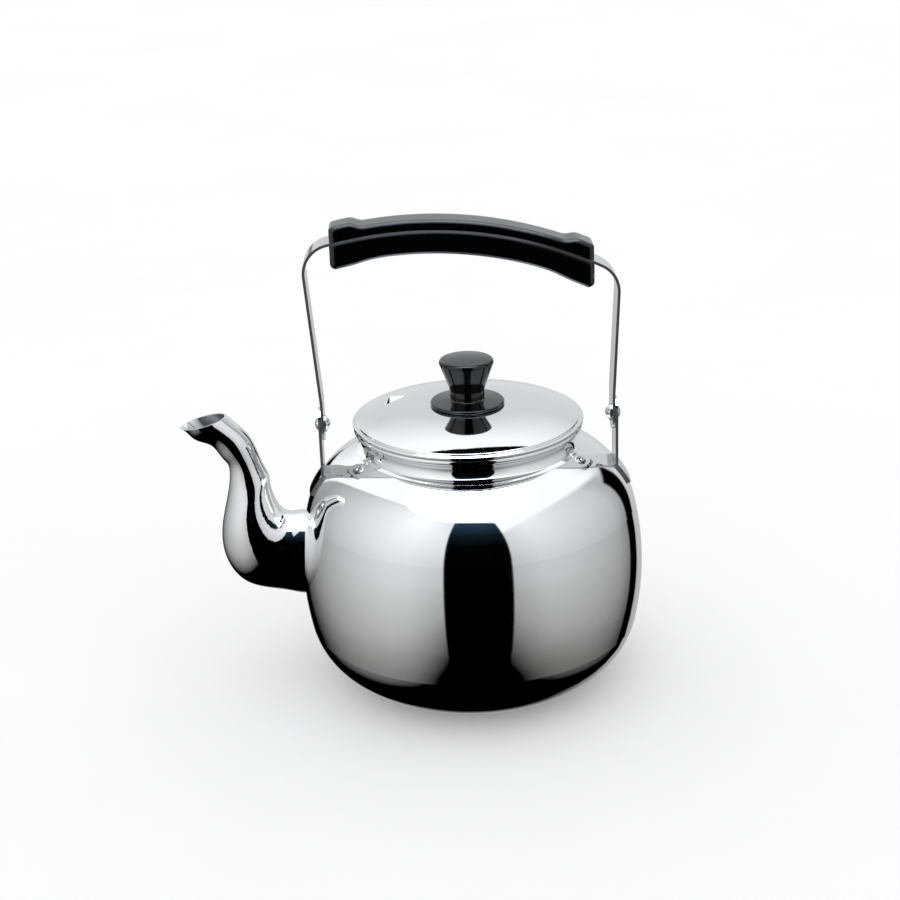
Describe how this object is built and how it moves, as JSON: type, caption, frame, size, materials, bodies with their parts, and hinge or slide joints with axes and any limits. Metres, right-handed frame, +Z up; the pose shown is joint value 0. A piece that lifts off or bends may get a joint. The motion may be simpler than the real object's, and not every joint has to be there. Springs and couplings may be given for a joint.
{
  "type": "stove-top kettle",
  "caption": "Stove-top kettle of polished steel: barrel body, coved neck, domed lift-off lid with a knob, fat swan-neck spout and a strap bail with a moulded grip that swings over.",
  "frame": {"origin": "middle of the flat base, on the surface that the kettle stands on", "axes": "+Z up along the body's axis, -X towards the spout, X also along the handle's pivot axis"},
  "size_m": [0.2523, 0.19, 0.2616],
  "materials": {
    "mirror_steel": "mirror-polished stainless steel",
    "black_phenolic": "glossy black moulded phenolic",
    "brass": "turned brass",
    "turned_steel": "turned and zinc-bright steel"
  },
  "bodies": {
    "kettle_body": {"body_shell": "mirror_steel", "neck_collar": "mirror_steel", "spout_near_half": "mirror_steel", "spout_far_half": "mirror_steel", "front_ear": "mirror_steel", "rear_ear": "mirror_steel", "front_pivot_rivet": "mirror_steel", "rear_pivot_rivet": "mirror_steel", "front_pivot_washer": "turned_steel", "rear_pivot_washer": "turned_steel"},
    "bail": {"bail_strap": "mirror_steel", "grip_upper_half": "black_phenolic", "grip_lower_half": "black_phenolic", "grip_screws": "turned_steel", "grip_inserts": "brass"},
    "lid": {"lid_plate": "mirror_steel", "lid_skirt": "mirror_steel", "lid_knob": "black_phenolic", "knob_insert": "brass", "knob_screw": "turned_steel", "knob_washer": "turned_steel"}
  },
  "joints": [
    {"name": "bail_swing", "type": "hinge", "parent": "kettle_body", "child": "bail", "pos_m": [0, 0, 0.149], "axis": [1, 0, 0], "range_deg": [-105, 105]},
    {"name": "lid_lift", "type": "slide", "parent": "kettle_body", "child": "lid", "axis": [0, 0, 1], "range_m": [0, 0.045]}
  ]
}
